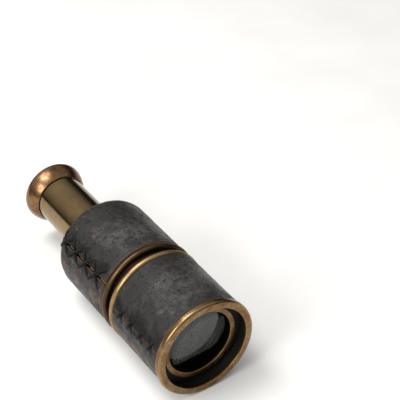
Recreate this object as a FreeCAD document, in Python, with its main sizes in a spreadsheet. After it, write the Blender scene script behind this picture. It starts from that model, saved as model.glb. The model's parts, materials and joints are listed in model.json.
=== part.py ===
import FreeCAD, Part
import os
import re
import Sketcher

# A small hand-held refracting telescope with one draw tube.
# The optical axis runs along Y: the objective looks towards -Y, the eye is at +Y.
# Every station is a distance along the axis, in mm, from the front face of the objective rim.
# The origin is on the surface that the telescope lies on, under the middle of its length.

doc = FreeCAD.newDocument("DrawTubeTelescope")

SIZES = {
    # objective rim, a turned ring
    "rim_height": 1.6,
    "rim_length": 3.4,
    "rim_lip": 2.2,
    "rim_front_round": 1.2,
    "rim_back_round": 0.8,
    "rim_inner_round": 0.5,
    "rim_seat": 1.7,
    "ring_round": 0.9,
    # sliding sunshade behind the rim
    "shade_tube_radius": 23.5,
    "shade_tube_wall": 0.6,
    "shade_leather_length": 37.1,
    "shade_leather_thick": 0.8,
    "shade_ring_length": 3.4,
    "shade_ring_height": 1.3,
    "shade_ring_lip": 0.7,
    "shade_seam_angle": 16.0,
    "shade_seam_width": 0.3,
    "liner_thick": 0.5,
    "liner_length": 9.8,
    "slide_gap": 0.08,
    # objective in its cell
    "recess_depth": 6.0,
    "cell_set_back": 0.6,
    "cell_flange_length": 3.0,
    "cell_flange_gap": 0.3,
    "cell_lip_length": 1.6,
    "cell_lip_step": 1.6,
    "lens_radius": 18.8,
    "lens_play": 0.1,
    "lens_ring_width": 2.5,
    "lens_ring_length": 3.5,
    "crown_front_curve": 95.0,
    "crown_back_curve": 70.0,
    "crown_edge": 2.1,
    "flint_edge": 4.2,
    "spacer_width": 1.2,
    "spacer_length": 0.6,
    "seat_play": 0.05,
    "objective_tube_wall": 0.7,
    "objective_tail": 1.0,
    "stop_station": 26.0,
    "stop_thick": 0.8,
    "stop_opening": 14.0,
    # leather-covered barrel
    "section_gap": 3.3,
    "barrel_ring_length": 3.2,
    "barrel_ring_height": 1.2,
    "barrel_ring_wall": 0.8,
    "barrel_spigot_length": 6.6,
    "barrel_spigot_wall": 0.58,
    "barrel_tube_wall": 0.7,
    "barrel_leather_length": 36.0,
    "barrel_leather_thick": 0.7,
    "barrel_seam_angle": 28.0,
    "barrel_seam_width": 1.2,
    "leather_gap": 0.2,
    "glue_line": 0.1,
    "shoulder_face_width": 0.4,
    "shoulder_wall": 0.7,
    "shoulder_spigot": 5.0,
    # bush in the shoulder, lined with felt
    "bush_wall": 0.48,
    "bush_length": 13.0,
    "bush_flange_height": 1.0,
    "bush_flange_length": 1.8,
    "bush_round": 0.4,
    "felt_thick": 0.65,
    "felt_gap": 0.07,
    "felt_length": 12.0,
    # draw tube and eyepiece
    "draw_radius": 12.6,
    "draw_wall": 0.6,
    "draw_exposed": 36.0,
    "draw_stop_travel": 3.5,
    "draw_stop_length": 2.8,
    "draw_stop_step": 1.7,
    "draw_diaphragm_depth": 6.0,
    "draw_diaphragm_thick": 0.8,
    "draw_diaphragm_opening": 8.0,
    "cup_neck_step": 0.5,
    "cup_neck_length": 0.5,
    "cup_base_step": 0.5,
    "cup_flare": 3.3,
    "cup_flare_length": 6.6,
    "cup_flare_curve": 18.0,
    "cup_land": 1.2,
    "cup_lip_length": 2.4,
    "cup_lip_step": 2.3,
    "cup_lip_curve": 2.6,
    "cup_dish_depth": 5.2,
    "cup_dish_curve": 12.0,
    "cup_hole": 5.0,
    "cup_web": 2.0,
    "cup_spigot": 4.0,
    "cup_wall": 1.0,
    "eye_cell_length": 5.4,
    "eye_cell_lip": 0.8,
    "eye_cell_wall": 2.0,
    "eye_lens_centre": 1.2,
    "eye_lens_curve": 40.0,
    "eye_lens_rim": 1.5,
    "eye_ring_length": 1.2,
    # cross-stitches over the seams
    "thread_rise": 1.3,
    "thread_thick": 0.6,
    "thread_lift": 0.03,
    "shade_stitches": 4,
    "shade_stitch_pitch": 8.4,
    "shade_stitch_gap": 4.2,
    "shade_stitch_reach": 3.1,
    "shade_stitch_margin": 3.5,
    "barrel_stitches": 3,
    "barrel_stitch_pitch": 9.5,
    "barrel_stitch_gap": 0.4,
    "barrel_stitch_reach": 4.6,
    "barrel_stitch_margin": 3.9,
}

# Places worked out from the sizes. They keep mating pieces together when a size changes.
PLACES = {
    "rim_radius": "shade_tube_radius + rim_height",
    "rim_opening": "shade_tube_radius - rim_lip",
    "rim_front_flat": "rim_radius - rim_front_round",
    "rim_inner_flat": "rim_opening + rim_inner_round",
    "rim_back_start": "rim_length - rim_back_round",
    "rim_back_flat": "rim_radius - rim_back_round",
    "shade_leather_start": "rim_length + leather_gap",
    "shade_leather_end": "shade_leather_start + shade_leather_length",
    "shade_leather_bore": "shade_tube_radius + glue_line",
    "shade_leather_radius": "shade_leather_bore + shade_leather_thick",
    "shade_ring_start": "shade_leather_end + leather_gap",
    "shade_ring_end": "shade_ring_start + shade_ring_length",
    "shade_tube_end": "shade_ring_end - shade_ring_lip",
    "shade_ring_radius": "shade_tube_radius + shade_ring_height",
    "shade_ring_flat": "shade_ring_radius - ring_round",
    "shade_ring_round_end": "shade_ring_start + ring_round",
    "shade_ring_back_start": "shade_ring_end - ring_round",
    "shade_bore": "shade_tube_radius - shade_tube_wall",
    "liner_start": "shade_tube_end - liner_length",
    "liner_bore": "shade_bore - liner_thick",
    "objective_tube_radius": "liner_bore - slide_gap",
    "objective_bore": "objective_tube_radius - objective_tube_wall",
    "cell_front": "recess_depth + cell_set_back",
    "objective_tube_start": "cell_front + cell_flange_length",
    "cell_flange_radius": "shade_bore - cell_flange_gap",
    "cell_bore": "lens_radius + lens_play",
    "cell_lip_bore": "lens_radius - cell_lip_step",
    "lens_ring_opening": "lens_radius - lens_ring_width",
    "lens_ring_end": "recess_depth + lens_ring_length",
    "crown_front": "lens_ring_end + seat_play - crown_front_curve"
                   " + sqrt(crown_front_curve ^ 2 - lens_ring_opening ^ 2)",
    "crown_edge_start": "crown_front + crown_front_curve - sqrt(crown_front_curve ^ 2 - lens_radius ^ 2)",
    "crown_edge_end": "crown_edge_start + crown_edge",
    "crown_back": "crown_edge_end + crown_back_curve - sqrt(crown_back_curve ^ 2 - lens_radius ^ 2)",
    "spacer_bore": "lens_radius - spacer_width",
    "spacer_sag": "crown_back_curve - sqrt(crown_back_curve ^ 2 - spacer_bore ^ 2)",
    "spacer_start": "crown_back - spacer_sag + seat_play",
    "flint_front": "spacer_start + spacer_length",
    "flint_hollow": "flint_front + spacer_sag",
    "flint_back": "flint_front + flint_edge",
    "cell_end": "flint_back + cell_lip_length",
    "stop_end": "stop_station + stop_thick",
    "barrel_ring_start": "shade_ring_end + section_gap",
    "barrel_ring_end": "barrel_ring_start + barrel_ring_length",
    "barrel_bore": "objective_tube_radius + barrel_spigot_wall",
    "barrel_tube_radius": "barrel_bore + barrel_tube_wall",
    "barrel_ring_radius": "barrel_tube_radius + barrel_ring_height",
    "barrel_ring_flat": "barrel_ring_radius - ring_round",
    "barrel_ring_round_end": "barrel_ring_start + ring_round",
    "barrel_ring_back_start": "barrel_ring_end - ring_round",
    "barrel_tube_start": "barrel_ring_start + barrel_ring_wall",
    "barrel_spigot_end": "barrel_tube_start + barrel_spigot_length",
    "objective_tube_end": "barrel_spigot_end + objective_tail",
    "barrel_leather_start": "barrel_ring_end + leather_gap",
    "barrel_leather_bore": "barrel_tube_radius + glue_line",
    "barrel_leather_radius": "barrel_leather_bore + barrel_leather_thick",
    "felt_bore": "draw_radius + felt_gap",
    "bush_bore": "felt_bore + felt_thick",
    "bush_radius": "bush_bore + bush_wall",
    "bush_flange_radius": "bush_radius + bush_flange_height",
    "leather_hole": "bush_flange_radius + leather_gap",
    "shoulder_flat_radius": "leather_hole + shoulder_face_width",
    "shoulder_round": "barrel_tube_radius - shoulder_flat_radius",
    "shoulder_start": "barrel_leather_start + barrel_leather_length",
    "shoulder_spigot_start": "shoulder_start - shoulder_spigot",
    "shoulder_spigot_bore": "barrel_bore - shoulder_wall",
    "shoulder_inner_round": "shoulder_round - barrel_tube_wall - shoulder_wall",
    "shoulder_inner_face": "shoulder_start + shoulder_inner_round",
    "shoulder_face": "shoulder_start + shoulder_round",
    "leather_inner_round": "shoulder_round + glue_line",
    "leather_inner_face": "shoulder_face + glue_line",
    "leather_round": "leather_inner_round + barrel_leather_thick",
    "leather_face": "leather_inner_face + barrel_leather_thick",
    "bush_start": "shoulder_face - bush_length",
    "bush_end": "shoulder_face + bush_flange_length",
    "bush_round_start": "bush_end - bush_round",
    "bush_flange_flat": "bush_flange_radius - bush_round",
    "felt_end": "felt_start + felt_length",
    "felt_start": "shoulder_face - felt_length",
    "draw_bore": "draw_radius - draw_wall",
    "draw_stop_end": "bush_start - draw_stop_travel",
    "draw_start": "draw_stop_end - draw_stop_length",
    "draw_stop_radius": "draw_radius + draw_stop_step",
    "diaphragm_start": "draw_start + draw_diaphragm_depth",
    "diaphragm_end": "diaphragm_start + draw_diaphragm_thick",
    "cup_start": "bush_end + draw_exposed",
    "cup_spigot_start": "cup_start - cup_spigot",
    "cup_inner": "draw_bore - cup_wall",
    "cup_neck_radius": "draw_radius - cup_neck_step",
    "cup_base_radius": "draw_radius + cup_base_step",
    "cup_radius": "draw_radius + cup_flare",
    "cup_mouth_radius": "cup_radius - cup_lip_step",
    "cup_flare_start": "cup_start + cup_neck_length",
    "cup_land_start": "cup_flare_start + cup_flare_length",
    "cup_land_end": "cup_land_start + cup_land",
    "cup_end": "cup_land_end + cup_lip_length",
    "cup_dish": "cup_end - cup_dish_depth",
    "cup_web_face": "cup_dish - cup_web",
    "cup_mouth_inner": "cup_mouth_radius - cup_wall",
    "eye_lens_radius": "cup_inner - eye_cell_wall - lens_play",
    "eye_cell_start": "cup_web_face - eye_cell_length",
    "eye_cell_bore": "eye_lens_radius + lens_play",
    "eye_opening": "eye_lens_radius - eye_lens_rim",
    "eye_lens_end": "cup_web_face - eye_cell_lip",
    "eye_lens_sag": "eye_lens_curve - sqrt(eye_lens_curve ^ 2 - eye_opening ^ 2)",
    "eye_lens_start": "eye_lens_end - eye_lens_centre - 2 * eye_lens_sag",
    "eye_lens_front": "eye_lens_start + eye_lens_sag",
    "eye_lens_back": "eye_lens_end - eye_lens_sag",
    "eye_ring_start": "eye_lens_start - eye_ring_length",
    "shade_seam_turn": "90 - shade_seam_angle",
    "barrel_seam_turn": "90 - barrel_seam_angle",
    "middle": "cup_end / 2",
    "axis_height": "max(rim_radius; shade_ring_radius; barrel_ring_radius)",
}

# Each cross is drawn in its own square, from its lower left corner.
for section in ("shade", "barrel"):
    tall = section + "_stitch_tall"
    reach = section + "_stitch_reach"
    waist = "thread_rise * %s / (%s - thread_rise)" % (reach, tall)
    PLACES.update({
        section + "_stitch_start": "%s_leather_start + %s_stitch_margin" % (section, section),
        tall: "%s_stitch_pitch - %s_stitch_gap" % (section, section),
        section + "_stitch_width": "2 * " + reach,
        section + "_stitch_middle": tall + " / 2",
        section + "_stitch_upper": "(%s + thread_rise) / 2" % tall,
        section + "_stitch_lower": "(%s - thread_rise) / 2" % tall,
        section + "_stitch_shoulder": tall + " - thread_rise",
        section + "_stitch_left": "%s - %s" % (reach, waist),
        section + "_stitch_right": "%s + %s" % (reach, waist),
    })


def named(expression):
    """Writes an expression in the sheets' own terms, such as Sizes.rim_radius."""

    def with_sheet(match):
        word = match.group(0)
        if word in SIZES:
            return "Sizes." + word
        if word in PLACES:
            return "Places." + word
        return word

    return re.sub(r"[a-z_]+", with_sheet, expression)


def make_sheets():
    """Puts the driving sizes and the worked-out places in two spreadsheets."""
    sizes = doc.addObject("Spreadsheet::Sheet", "Sizes")
    for row, (name, number) in enumerate(SIZES.items(), start=1):
        sizes.set("A%d" % row, name)
        sizes.set("B%d" % row, str(number))
        sizes.setAlias("B%d" % row, name)
    places = doc.addObject("Spreadsheet::Sheet", "Places")
    for row, name in enumerate(PLACES, start=1):
        places.set("A%d" % row, name)
        places.setAlias("B%d" % row, name)
    for row, expression in enumerate(PLACES.values(), start=1):
        places.set("B%d" % row, "=" + named(expression).replace("Places.", ""))
    doc.recompute()
    return sizes, places


sizes, places = make_sheets()
subparts = []


def read(name):
    """Number in a named cell; a plain number stands for itself."""
    if name in SIZES:
        return float(sizes.get(name))
    if name in PLACES:
        return float(places.get(name))
    return float(name)


def put_on_axis(subpart):
    """Brings a piece drawn from the rim's front face to its place in the telescope."""
    subpart.setExpression("Placement.Base.y", "-Places.middle")
    subpart.setExpression("Placement.Base.z", "Places.axis_height")


def arc_between(start, end, radius, side):
    """Arc from start to end; side 1 puts its centre to the left of that run, -1 to the right."""
    run = end.sub(start)
    half = run.Length / 2
    rise = max(radius ** 2 - half ** 2, 0.0) ** 0.5
    left = FreeCAD.Vector(-run.y, run.x, 0).normalize()
    centre = start.add(run.multiply(0.5)).add(left.multiply(side * rise))
    first = centre.sub(start)
    second = centre.sub(end)
    turned = first.cross(second).z > 0
    circle = Part.Circle(centre, FreeCAD.Vector(0, 0, 1), radius)
    if turned:
        return Part.ArcOfCircle(circle, circle.parameter(start), circle.parameter(end)), False
    return Part.ArcOfCircle(circle, circle.parameter(end), circle.parameter(start)), True


def draw_outline(sketch, corners):
    """Closed outline. A corner is (station, radius) or (station, radius, curve, side):
    the last two bend the edge that arrives at that corner."""
    points = [FreeCAD.Vector(read(corner[0]), read(corner[1]), 0) for corner in corners]
    edges = []
    for index, corner in enumerate(corners):
        start = points[index - 1]
        end = points[index]
        if len(corner) == 2:
            edges.append((sketch.addGeometry(Part.LineSegment(start, end)), False))
            continue
        arc, backwards = arc_between(start, end, read(corner[2]), corner[3])
        edge = sketch.addGeometry(arc)
        edges.append((edge, backwards))
        hold(sketch, Sketcher.Constraint("Radius", edge, arc.Radius), "curve_%d" % index, corner[2])
    for index, corner in enumerate(corners):
        edge, backwards = edges[index]
        following, following_backwards = edges[(index + 1) % len(corners)]
        end_point = 1 if backwards else 2
        start_point = 2 if following_backwards else 1
        sketch.addConstraint(Sketcher.Constraint("Coincident", edge, end_point, following, start_point))
        station = Sketcher.Constraint("DistanceX", -1, 1, edge, end_point, points[index].x)
        radius = Sketcher.Constraint("DistanceY", -1, 1, edge, end_point, points[index].y)
        hold(sketch, station, "station_%d" % index, corner[0])
        hold(sketch, radius, "radius_%d" % index, corner[1])


def hold(sketch, constraint, label, name):
    """Adds a constraint whose value comes from a named cell."""
    number = sketch.addConstraint(constraint)
    sketch.renameConstraint(number, label)
    if name in SIZES or name in PLACES:
        sketch.setExpression("Constraints." + label, named(name))


def origin_plane(body, role):
    """One of a body's own origin planes."""
    return next(plane for plane in body.Origin.OriginFeatures if plane.Role == role)


def turned(label, corners, seam=None):
    """A piece turned on the lathe: its half section spun about the optical axis.
    A seam, given as (radius, width, angle from upright), is left open in the turn."""
    body = doc.addObject("PartDesign::Body", label)
    body.Label = label
    sketch = body.newObject("Sketcher::SketchObject", label + "_section")
    sketch.AttachmentSupport = [(origin_plane(body, "YZ_Plane"), "")]
    sketch.MapMode = "FlatFace"
    doc.recompute()
    draw_outline(sketch, corners)
    spin = body.newObject("PartDesign::Revolution", label + "_spin")
    spin.Profile = sketch
    spin.ReferenceAxis = (sketch, ["H_Axis"])
    spin.Angle = 360
    body.Tip = spin
    put_on_axis(body)
    if seam:
        radius, width, turn = (named(name) for name in seam)
        opening = "%s / %s * 180 / pi" % (width, radius)
        spin.setExpression("Angle", "360 - " + opening)
        body.Placement.Rotation = FreeCAD.Rotation(FreeCAD.Vector(0, 1, 0), 0)
        body.setExpression("Placement.Rotation.Angle", "%s / 2 - %s" % (opening, turn))
    subparts.append(body)
    return body


def ring(label, start, end, outer, inner):
    """A plain ring or tube between two stations."""
    return turned(label, [(start, outer), (end, outer), (end, inner), (start, inner)])


def cylinder_on_axis(label, start, length, radius):
    """A cylinder along the optical axis, for trimming the stitches to the leather."""
    cylinder = doc.addObject("Part::Cylinder", label)
    cylinder.Placement.Rotation = FreeCAD.Rotation(FreeCAD.Vector(1, 0, 0), -90)
    cylinder.setExpression("Radius", radius)
    cylinder.setExpression("Height", length)
    cylinder.setExpression("Placement.Base.y", start)
    return cylinder


def stitch_corners(section):
    """Outline of one cross of thread, counter-clockwise from the right of its waist."""
    name = section + "_stitch_"
    return [
        (name + "right", name + "middle"),
        (name + "width", name + "shoulder"),
        (name + "width", name + "tall"),
        (name + "reach", name + "upper"),
        ("0", name + "tall"),
        ("0", name + "shoulder"),
        (name + "left", name + "middle"),
        ("0", "thread_rise"),
        ("0", "0"),
        (name + "reach", name + "lower"),
        (name + "width", "0"),
        (name + "width", "thread_rise"),
    ]


def lacing(label, section):
    """A row of cross-stitches standing on the leather along its seam."""
    crosses = doc.addObject("PartDesign::Body", label + "_crosses")
    sketch = crosses.newObject("Sketcher::SketchObject", label + "_cross")
    sketch.AttachmentSupport = [(origin_plane(crosses, "XY_Plane"), "")]
    sketch.MapMode = "FlatFace"
    sketch.setExpression("AttachmentOffset.Base.x", "-Sizes.%s_stitch_reach" % section)
    sketch.setExpression("AttachmentOffset.Base.y", named(section + "_stitch_start"))
    doc.recompute()
    draw_outline(sketch, stitch_corners(section))
    pad = crosses.newObject("PartDesign::Pad", label + "_thread")
    pad.Profile = sketch
    pad.setExpression("Length", named(section + "_leather_radius") + " + 2 * Sizes.thread_thick")
    crosses.Tip = pad
    doc.recompute()
    row = crosses.newObject("PartDesign::LinearPattern", label + "_row")
    row.Originals = [pad]
    row.Direction = (sketch, ["V_Axis"])
    row.setExpression("Occurrences", named(section + "_stitches"))
    row.setExpression("Length", named("%s_stitch_pitch * (%s_stitches - 1)" % (section, section)))
    crosses.Tip = row

    start = named(section + "_leather_start")
    length = named("%s_leather_length" % section)
    radius = named(section + "_leather_radius + thread_lift")
    outside = cylinder_on_axis(label + "_outside", start, length, radius + " + Sizes.thread_thick")
    inside = cylinder_on_axis(label + "_inside", start, length, radius)
    skin = doc.addObject("Part::Cut", label + "_skin")
    skin.Base = outside
    skin.Tool = inside
    stitches = doc.addObject("Part::Common", label)
    stitches.Label = label
    stitches.Base = crosses
    stitches.Tool = skin
    stitches.Placement.Rotation = FreeCAD.Rotation(FreeCAD.Vector(0, 1, 0), 0)
    stitches.setExpression("Placement.Rotation.Angle", "-" + named(section + "_seam_turn"))
    put_on_axis(stitches)
    subparts.append(stitches)


def make_sunshade():
    """The rim and the leather-covered sleeve that slides forward as a sunshade."""
    turned("sunshade_bezel", [
        ("0", "rim_inner_flat", "rim_inner_round", -1),
        ("0", "rim_front_flat"),
        ("rim_front_round", "rim_radius", "rim_front_round", -1),
        ("rim_back_start", "rim_radius"),
        ("rim_length", "rim_back_flat", "rim_back_round", -1),
        ("rim_length", "shade_tube_radius"),
        ("rim_seat", "shade_tube_radius"),
        ("rim_seat", "rim_opening"),
        ("rim_inner_round", "rim_opening"),
    ])
    ring("sunshade_tube", "rim_seat", "shade_tube_end", "shade_tube_radius", "shade_bore")
    ring("sunshade_liner", "liner_start", "shade_tube_end", "shade_bore", "liner_bore")
    turned("sunshade_rear_ring", [
        ("shade_ring_start", "shade_tube_radius"),
        ("shade_ring_start", "shade_ring_flat"),
        ("shade_ring_round_end", "shade_ring_radius", "ring_round", -1),
        ("shade_ring_back_start", "shade_ring_radius"),
        ("shade_ring_end", "shade_ring_flat", "ring_round", -1),
        ("shade_ring_end", "shade_bore"),
        ("shade_tube_end", "shade_bore"),
        ("shade_tube_end", "shade_tube_radius"),
    ])
    turned("sunshade_leather", [
        ("shade_leather_start", "shade_leather_bore"),
        ("shade_leather_start", "shade_leather_radius"),
        ("shade_leather_end", "shade_leather_radius"),
        ("shade_leather_end", "shade_leather_bore"),
    ], seam=("shade_leather_radius", "shade_seam_width", "shade_seam_turn"))
    lacing("sunshade_lacing", "shade")


def make_objective():
    """The doublet in its blackened cell, on the front of the objective tube."""
    turned("lens_cell", [
        ("cell_front", "cell_bore"),
        ("cell_front", "cell_flange_radius"),
        ("objective_tube_start", "cell_flange_radius"),
        ("objective_tube_start", "objective_bore"),
        ("cell_end", "objective_bore"),
        ("cell_end", "cell_lip_bore"),
        ("flint_back", "cell_lip_bore"),
        ("flint_back", "cell_bore"),
    ])
    ring("objective_retaining_ring", "recess_depth", "lens_ring_end", "cell_bore", "lens_ring_opening")
    turned("objective_crown_lens", [
        ("crown_front", "0"),
        ("crown_edge_start", "lens_radius", "crown_front_curve", -1),
        ("crown_edge_end", "lens_radius"),
        ("crown_back", "0", "crown_back_curve", -1),
    ])
    ring("lens_spacer", "spacer_start", "flint_front", "lens_radius", "spacer_bore")
    turned("objective_flint_lens", [
        ("flint_hollow", "0"),
        ("flint_front", "spacer_bore", "crown_back_curve", 1),
        ("flint_front", "lens_radius"),
        ("flint_back", "lens_radius"),
        ("flint_back", "0"),
    ])
    ring("objective_tube", "objective_tube_start", "objective_tube_end", "objective_tube_radius",
         "objective_bore")
    ring("objective_stop", "stop_station", "stop_end", "objective_bore", "stop_opening")


def make_barrel():
    """The leather-covered barrel with its rounded shoulder and the draw tube's bush."""
    turned("barrel_front_ring", [
        ("barrel_ring_start", "objective_tube_radius"),
        ("barrel_ring_start", "barrel_ring_flat"),
        ("barrel_ring_round_end", "barrel_ring_radius", "ring_round", -1),
        ("barrel_ring_back_start", "barrel_ring_radius"),
        ("barrel_ring_end", "barrel_ring_flat", "ring_round", -1),
        ("barrel_ring_end", "barrel_tube_radius"),
        ("barrel_tube_start", "barrel_tube_radius"),
        ("barrel_tube_start", "barrel_bore"),
        ("barrel_spigot_end", "barrel_bore"),
        ("barrel_spigot_end", "objective_tube_radius"),
    ])
    ring("barrel_tube", "barrel_tube_start", "shoulder_start", "barrel_tube_radius", "barrel_bore")
    turned("barrel_shoulder", [
        ("shoulder_spigot_start", "shoulder_spigot_bore"),
        ("shoulder_spigot_start", "barrel_bore"),
        ("shoulder_start", "barrel_bore"),
        ("shoulder_start", "barrel_tube_radius"),
        ("shoulder_face", "shoulder_flat_radius", "shoulder_round", -1),
        ("shoulder_face", "bush_radius"),
        ("shoulder_inner_face", "bush_radius"),
        ("shoulder_inner_face", "shoulder_flat_radius"),
        ("shoulder_start", "shoulder_spigot_bore", "shoulder_inner_round", 1),
    ])
    turned("barrel_leather", [
        ("barrel_leather_start", "barrel_leather_bore"),
        ("barrel_leather_start", "barrel_leather_radius"),
        ("shoulder_start", "barrel_leather_radius"),
        ("leather_face", "shoulder_flat_radius", "leather_round", -1),
        ("leather_face", "leather_hole"),
        ("leather_inner_face", "leather_hole"),
        ("leather_inner_face", "shoulder_flat_radius"),
        ("shoulder_start", "barrel_leather_bore", "leather_inner_round", 1),
    ], seam=("barrel_leather_radius", "barrel_seam_width", "barrel_seam_turn"))
    lacing("barrel_lacing", "barrel")
    turned("draw_bush", [
        ("bush_start", "bush_bore"),
        ("bush_start", "bush_radius"),
        ("shoulder_face", "bush_radius"),
        ("shoulder_face", "bush_flange_radius"),
        ("bush_round_start", "bush_flange_radius"),
        ("bush_end", "bush_flange_flat", "bush_round", -1),
        ("bush_end", "felt_bore"),
        ("felt_end", "felt_bore"),
        ("felt_end", "bush_bore"),
    ])
    ring("draw_bush_felt", "felt_start", "felt_end", "bush_bore", "felt_bore")


def make_draw():
    """The draw tube with its stop ring, diaphragm and eyepiece."""
    ring("draw_tube", "draw_start", "cup_start", "draw_radius", "draw_bore")
    ring("draw_stop_ring", "draw_start", "draw_stop_end", "draw_stop_radius", "draw_radius")
    ring("draw_diaphragm", "diaphragm_start", "diaphragm_end", "draw_bore", "draw_diaphragm_opening")
    turned("eyecup", [
        ("cup_spigot_start", "cup_inner"),
        ("cup_spigot_start", "draw_bore"),
        ("cup_start", "draw_bore"),
        ("cup_start", "cup_neck_radius"),
        ("cup_flare_start", "cup_neck_radius"),
        ("cup_flare_start", "cup_base_radius"),
        ("cup_land_start", "cup_radius", "cup_flare_curve", -1),
        ("cup_land_end", "cup_radius"),
        ("cup_end", "cup_mouth_radius", "cup_lip_curve", -1),
        ("cup_end", "cup_mouth_inner"),
        ("cup_dish", "cup_hole", "cup_dish_curve", 1),
        ("cup_web_face", "cup_hole"),
        ("cup_web_face", "cup_inner"),
    ])
    turned("eye_lens_cell", [
        ("eye_cell_start", "eye_cell_bore"),
        ("eye_cell_start", "cup_inner"),
        ("cup_web_face", "cup_inner"),
        ("cup_web_face", "eye_opening"),
        ("eye_lens_end", "eye_opening"),
        ("eye_lens_end", "eye_cell_bore"),
    ])
    turned("eye_lens", [
        ("eye_lens_front", "0"),
        ("eye_lens_start", "eye_opening", "eye_lens_curve", 1),
        ("eye_lens_start", "eye_lens_radius"),
        ("eye_lens_end", "eye_lens_radius"),
        ("eye_lens_end", "eye_opening"),
        ("eye_lens_back", "0", "eye_lens_curve", 1),
    ])
    ring("eye_lens_retaining_ring", "eye_ring_start", "eye_lens_start", "eye_cell_bore", "eye_opening")


def check_document():
    """Stops if any object failed to compute or any sub-part has no sound shape."""
    doc.recompute()
    failed = [thing.Name for thing in doc.Objects if {"Invalid", "Error"} & set(thing.State)]
    if failed:
        raise RuntimeError("not computed: " + ", ".join(failed))
    for subpart in subparts:
        shape = subpart.Shape
        if shape.isNull() or not shape.isValid() or not shape.Solids:
            raise RuntimeError("no sound shape: " + subpart.Label)


def write_steps():
    """Writes each sub-part to its own file."""
    os.makedirs("parts", exist_ok=True)
    for subpart in subparts:
        subpart.Shape.exportStep(os.path.join("parts", subpart.Label + ".step"))
        solids, volume = subpart.Shape.Solids, subpart.Shape.Volume
        print("%-26s %d solids %9.1f mm3" % (subpart.Label, len(solids), volume))


make_sunshade()
make_objective()
make_barrel()
make_draw()
check_document()
write_steps()
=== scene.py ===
import json
import math

import bpy
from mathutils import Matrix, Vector, noise


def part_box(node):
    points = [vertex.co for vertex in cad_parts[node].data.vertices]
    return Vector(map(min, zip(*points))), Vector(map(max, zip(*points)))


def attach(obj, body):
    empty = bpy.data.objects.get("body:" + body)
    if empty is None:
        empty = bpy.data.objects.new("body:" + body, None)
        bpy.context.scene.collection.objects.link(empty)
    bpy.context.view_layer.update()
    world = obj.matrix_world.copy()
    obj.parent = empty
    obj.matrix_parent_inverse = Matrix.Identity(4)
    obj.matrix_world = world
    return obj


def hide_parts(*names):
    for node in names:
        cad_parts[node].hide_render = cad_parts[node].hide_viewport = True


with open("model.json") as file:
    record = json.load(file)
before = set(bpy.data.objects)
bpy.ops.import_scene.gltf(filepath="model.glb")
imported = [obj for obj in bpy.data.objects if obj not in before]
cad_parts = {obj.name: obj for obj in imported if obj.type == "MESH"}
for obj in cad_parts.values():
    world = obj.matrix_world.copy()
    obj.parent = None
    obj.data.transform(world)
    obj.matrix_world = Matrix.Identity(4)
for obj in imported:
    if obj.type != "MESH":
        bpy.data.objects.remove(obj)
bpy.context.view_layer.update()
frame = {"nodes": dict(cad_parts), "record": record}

# A small draw-tube telescope in antiqued brass and stitched leather, lying on a pale surface.
# The optical axis runs along Y, with the objective at the low end. Lengths are in metres.

mm = 0.001


def span(node):
    # first station, last station and outside radius of a turned CAD node
    low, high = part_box(node)
    return low.y, high.y, (high.z - low.z) / 2


axisHeight = sum(corner.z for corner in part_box("draw_tube")) / 2
mountRadius = {mount["name"]: mount["dims"].get("r_mm", 0) * mm for mount in frame["record"]["mounts"]}


def linear(hexText):
    channels = [int(hexText[start:start + 2], 16) / 255 for start in (1, 3, 5)]
    return [c / 12.92 if c <= 0.04045 else ((c + 0.055) / 1.055) ** 2.4 for c in channels] + [1.0]


def addNode(tree, kind, values=None, links=None, **settings):
    # one node with its settings, its socket values and the sockets that feed it
    node = tree.nodes.new(kind)
    for name, value in settings.items():
        setattr(node, name, value)
    for socket, value in (values or {}).items():
        node.inputs[socket].default_value = value
    for socket, source in (links or {}).items():
        tree.links.new(source if isinstance(source, bpy.types.NodeSocket) else source.outputs[0],
                       node.inputs[socket])
    return node


def setStops(ramp, stops):
    elements = ramp.color_ramp.elements
    while len(elements) < len(stops):
        elements.new(0.5)
    for element, (position, colour) in zip(elements, stops):
        element.position = position
        element.color = linear(colour) if isinstance(colour, str) else (colour, colour, colour, 1)


def newMaterial(name):
    material = bpy.data.materials.new(name)
    material.use_nodes = True
    material.node_tree.nodes.clear()
    return material, material.node_tree


def finishMaterial(tree, shader):
    addNode(tree, "ShaderNodeOutputMaterial", links={"Surface": shader})


def mixColour(tree, factor, under, over):
    # over is laid on under where factor is 1; each is a socket or a hex colour
    mix = addNode(tree, "ShaderNodeMix", data_type="RGBA")
    for socket, value in (("Factor", factor), (6, under), (7, over)):
        if isinstance(value, str):
            mix.inputs[socket].default_value = linear(value)
        elif isinstance(value, (int, float)):
            mix.inputs[socket].default_value = value
        else:
            tree.links.new(value, mix.inputs[socket])
    return mix.outputs[2]


def addObject(name, verts, faces, material, attributes=None):
    mesh = bpy.data.meshes.new(name)
    mesh.from_pydata(verts, [], faces)
    mesh.materials.append(material)
    for label, values in (attributes or {}).items():
        mesh.attributes.new(label, "FLOAT", "POINT").data.foreach_set("value", values)
    mesh.polygons.foreach_set("use_smooth", [True] * len(mesh.polygons))
    mesh.update()
    piece = bpy.data.objects.new(name, mesh)
    bpy.context.scene.collection.objects.link(piece)
    return piece


def place(piece, body, node):
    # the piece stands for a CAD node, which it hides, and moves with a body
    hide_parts(node)
    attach(piece, body)


def aroundAxis(station, radius, angle):
    # angle is measured from straight up towards -X, where the seams are
    return (-radius * math.sin(angle), station, axisHeight + radius * math.cos(angle))


def faceOutwards(piece):
    # a closed mesh whose signed volume is negative is inside out
    volume = 0.0
    for polygon in piece.data.polygons:
        corners = [piece.data.vertices[k].co for k in polygon.vertices]
        for second, third in zip(corners[1:], corners[2:]):
            volume += corners[0].dot(second.cross(third))
    if volume < 0:
        piece.data.flip_normals()


# Materials

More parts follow.
